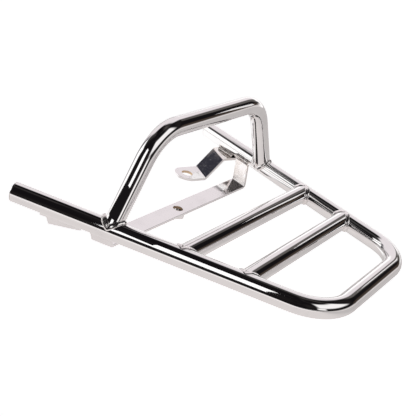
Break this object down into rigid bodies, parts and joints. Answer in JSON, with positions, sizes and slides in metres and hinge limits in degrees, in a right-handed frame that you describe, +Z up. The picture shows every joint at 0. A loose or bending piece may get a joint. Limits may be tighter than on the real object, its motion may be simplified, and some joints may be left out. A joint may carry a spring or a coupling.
{
  "type": "motorcycle luggage rack",
  "caption": "Chrome-plated welded tube luggage rack with an upright hoop, cross tubes, a bolt strap under the deck and two drilled ear brackets.",
  "frame": {"origin": "centre of the bolt hole in the strap, at the strap's top face", "axes": "+Z up, along the strap bolt; +Y towards the open front of the rack; +X to the right rail, along the cross tubes"},
  "size_m": [0.3532, 0.3081, 0.1313],
  "materials": {
    "chrome_tube": "mirror chrome plating",
    "chrome_plate": "chrome plating over flat bar, slightly soft",
    "chrome_weld": "chrome plating over weld beads"
  },
  "bodies": {
    "root": {"main_loop": "chrome_tube", "hoop": "chrome_tube", "cross_tube_front": "chrome_tube", "cross_tube_rear": "chrome_tube", "end_cap_left": "chrome_tube", "end_cap_right": "chrome_tube", "strap": "chrome_plate", "ear_left": "chrome_plate", "ear_right": "chrome_plate", "strap_nut": "chrome_plate", "weld_hoop_left": "chrome_weld", "weld_hoop_right": "chrome_weld", "weld_front_left": "chrome_weld", "weld_front_right": "chrome_weld", "weld_rear_left": "chrome_weld", "weld_rear_right": "chrome_weld", "seam_ear_left": "chrome_weld", "seam_ear_right": "chrome_weld", "seam_strap_left": "chrome_weld", "seam_strap_right": "chrome_weld"}
  },
  "joints": []
}
